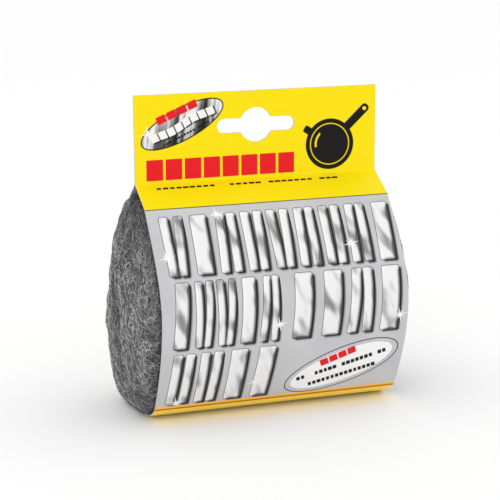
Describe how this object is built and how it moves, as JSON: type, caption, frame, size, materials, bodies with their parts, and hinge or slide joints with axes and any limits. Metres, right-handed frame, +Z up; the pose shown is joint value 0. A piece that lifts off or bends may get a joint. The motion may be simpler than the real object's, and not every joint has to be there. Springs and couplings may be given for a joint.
{
  "type": "carded pack of steel wool pads",
  "caption": "Hanging pack of steel wool pads held in a folded, printed card sleeve with open ends, a flat header and a slotted hang hole.",
  "frame": {"origin": "middle of the flat base under the header, on the surface that the pack stands on", "axes": "+X across the pack, the printed front faces -Y, +Z up towards the header"},
  "size_m": [0.113, 0.0656, 0.1248],
  "materials": {
    "printed_card": "satin",
    "steel_wool": "matte"
  },
  "bodies": {
    "root": {"card_sleeve": "printed_card", "wool_pad_front": "steel_wool", "wool_pad_rear": "steel_wool"}
  },
  "joints": []
}
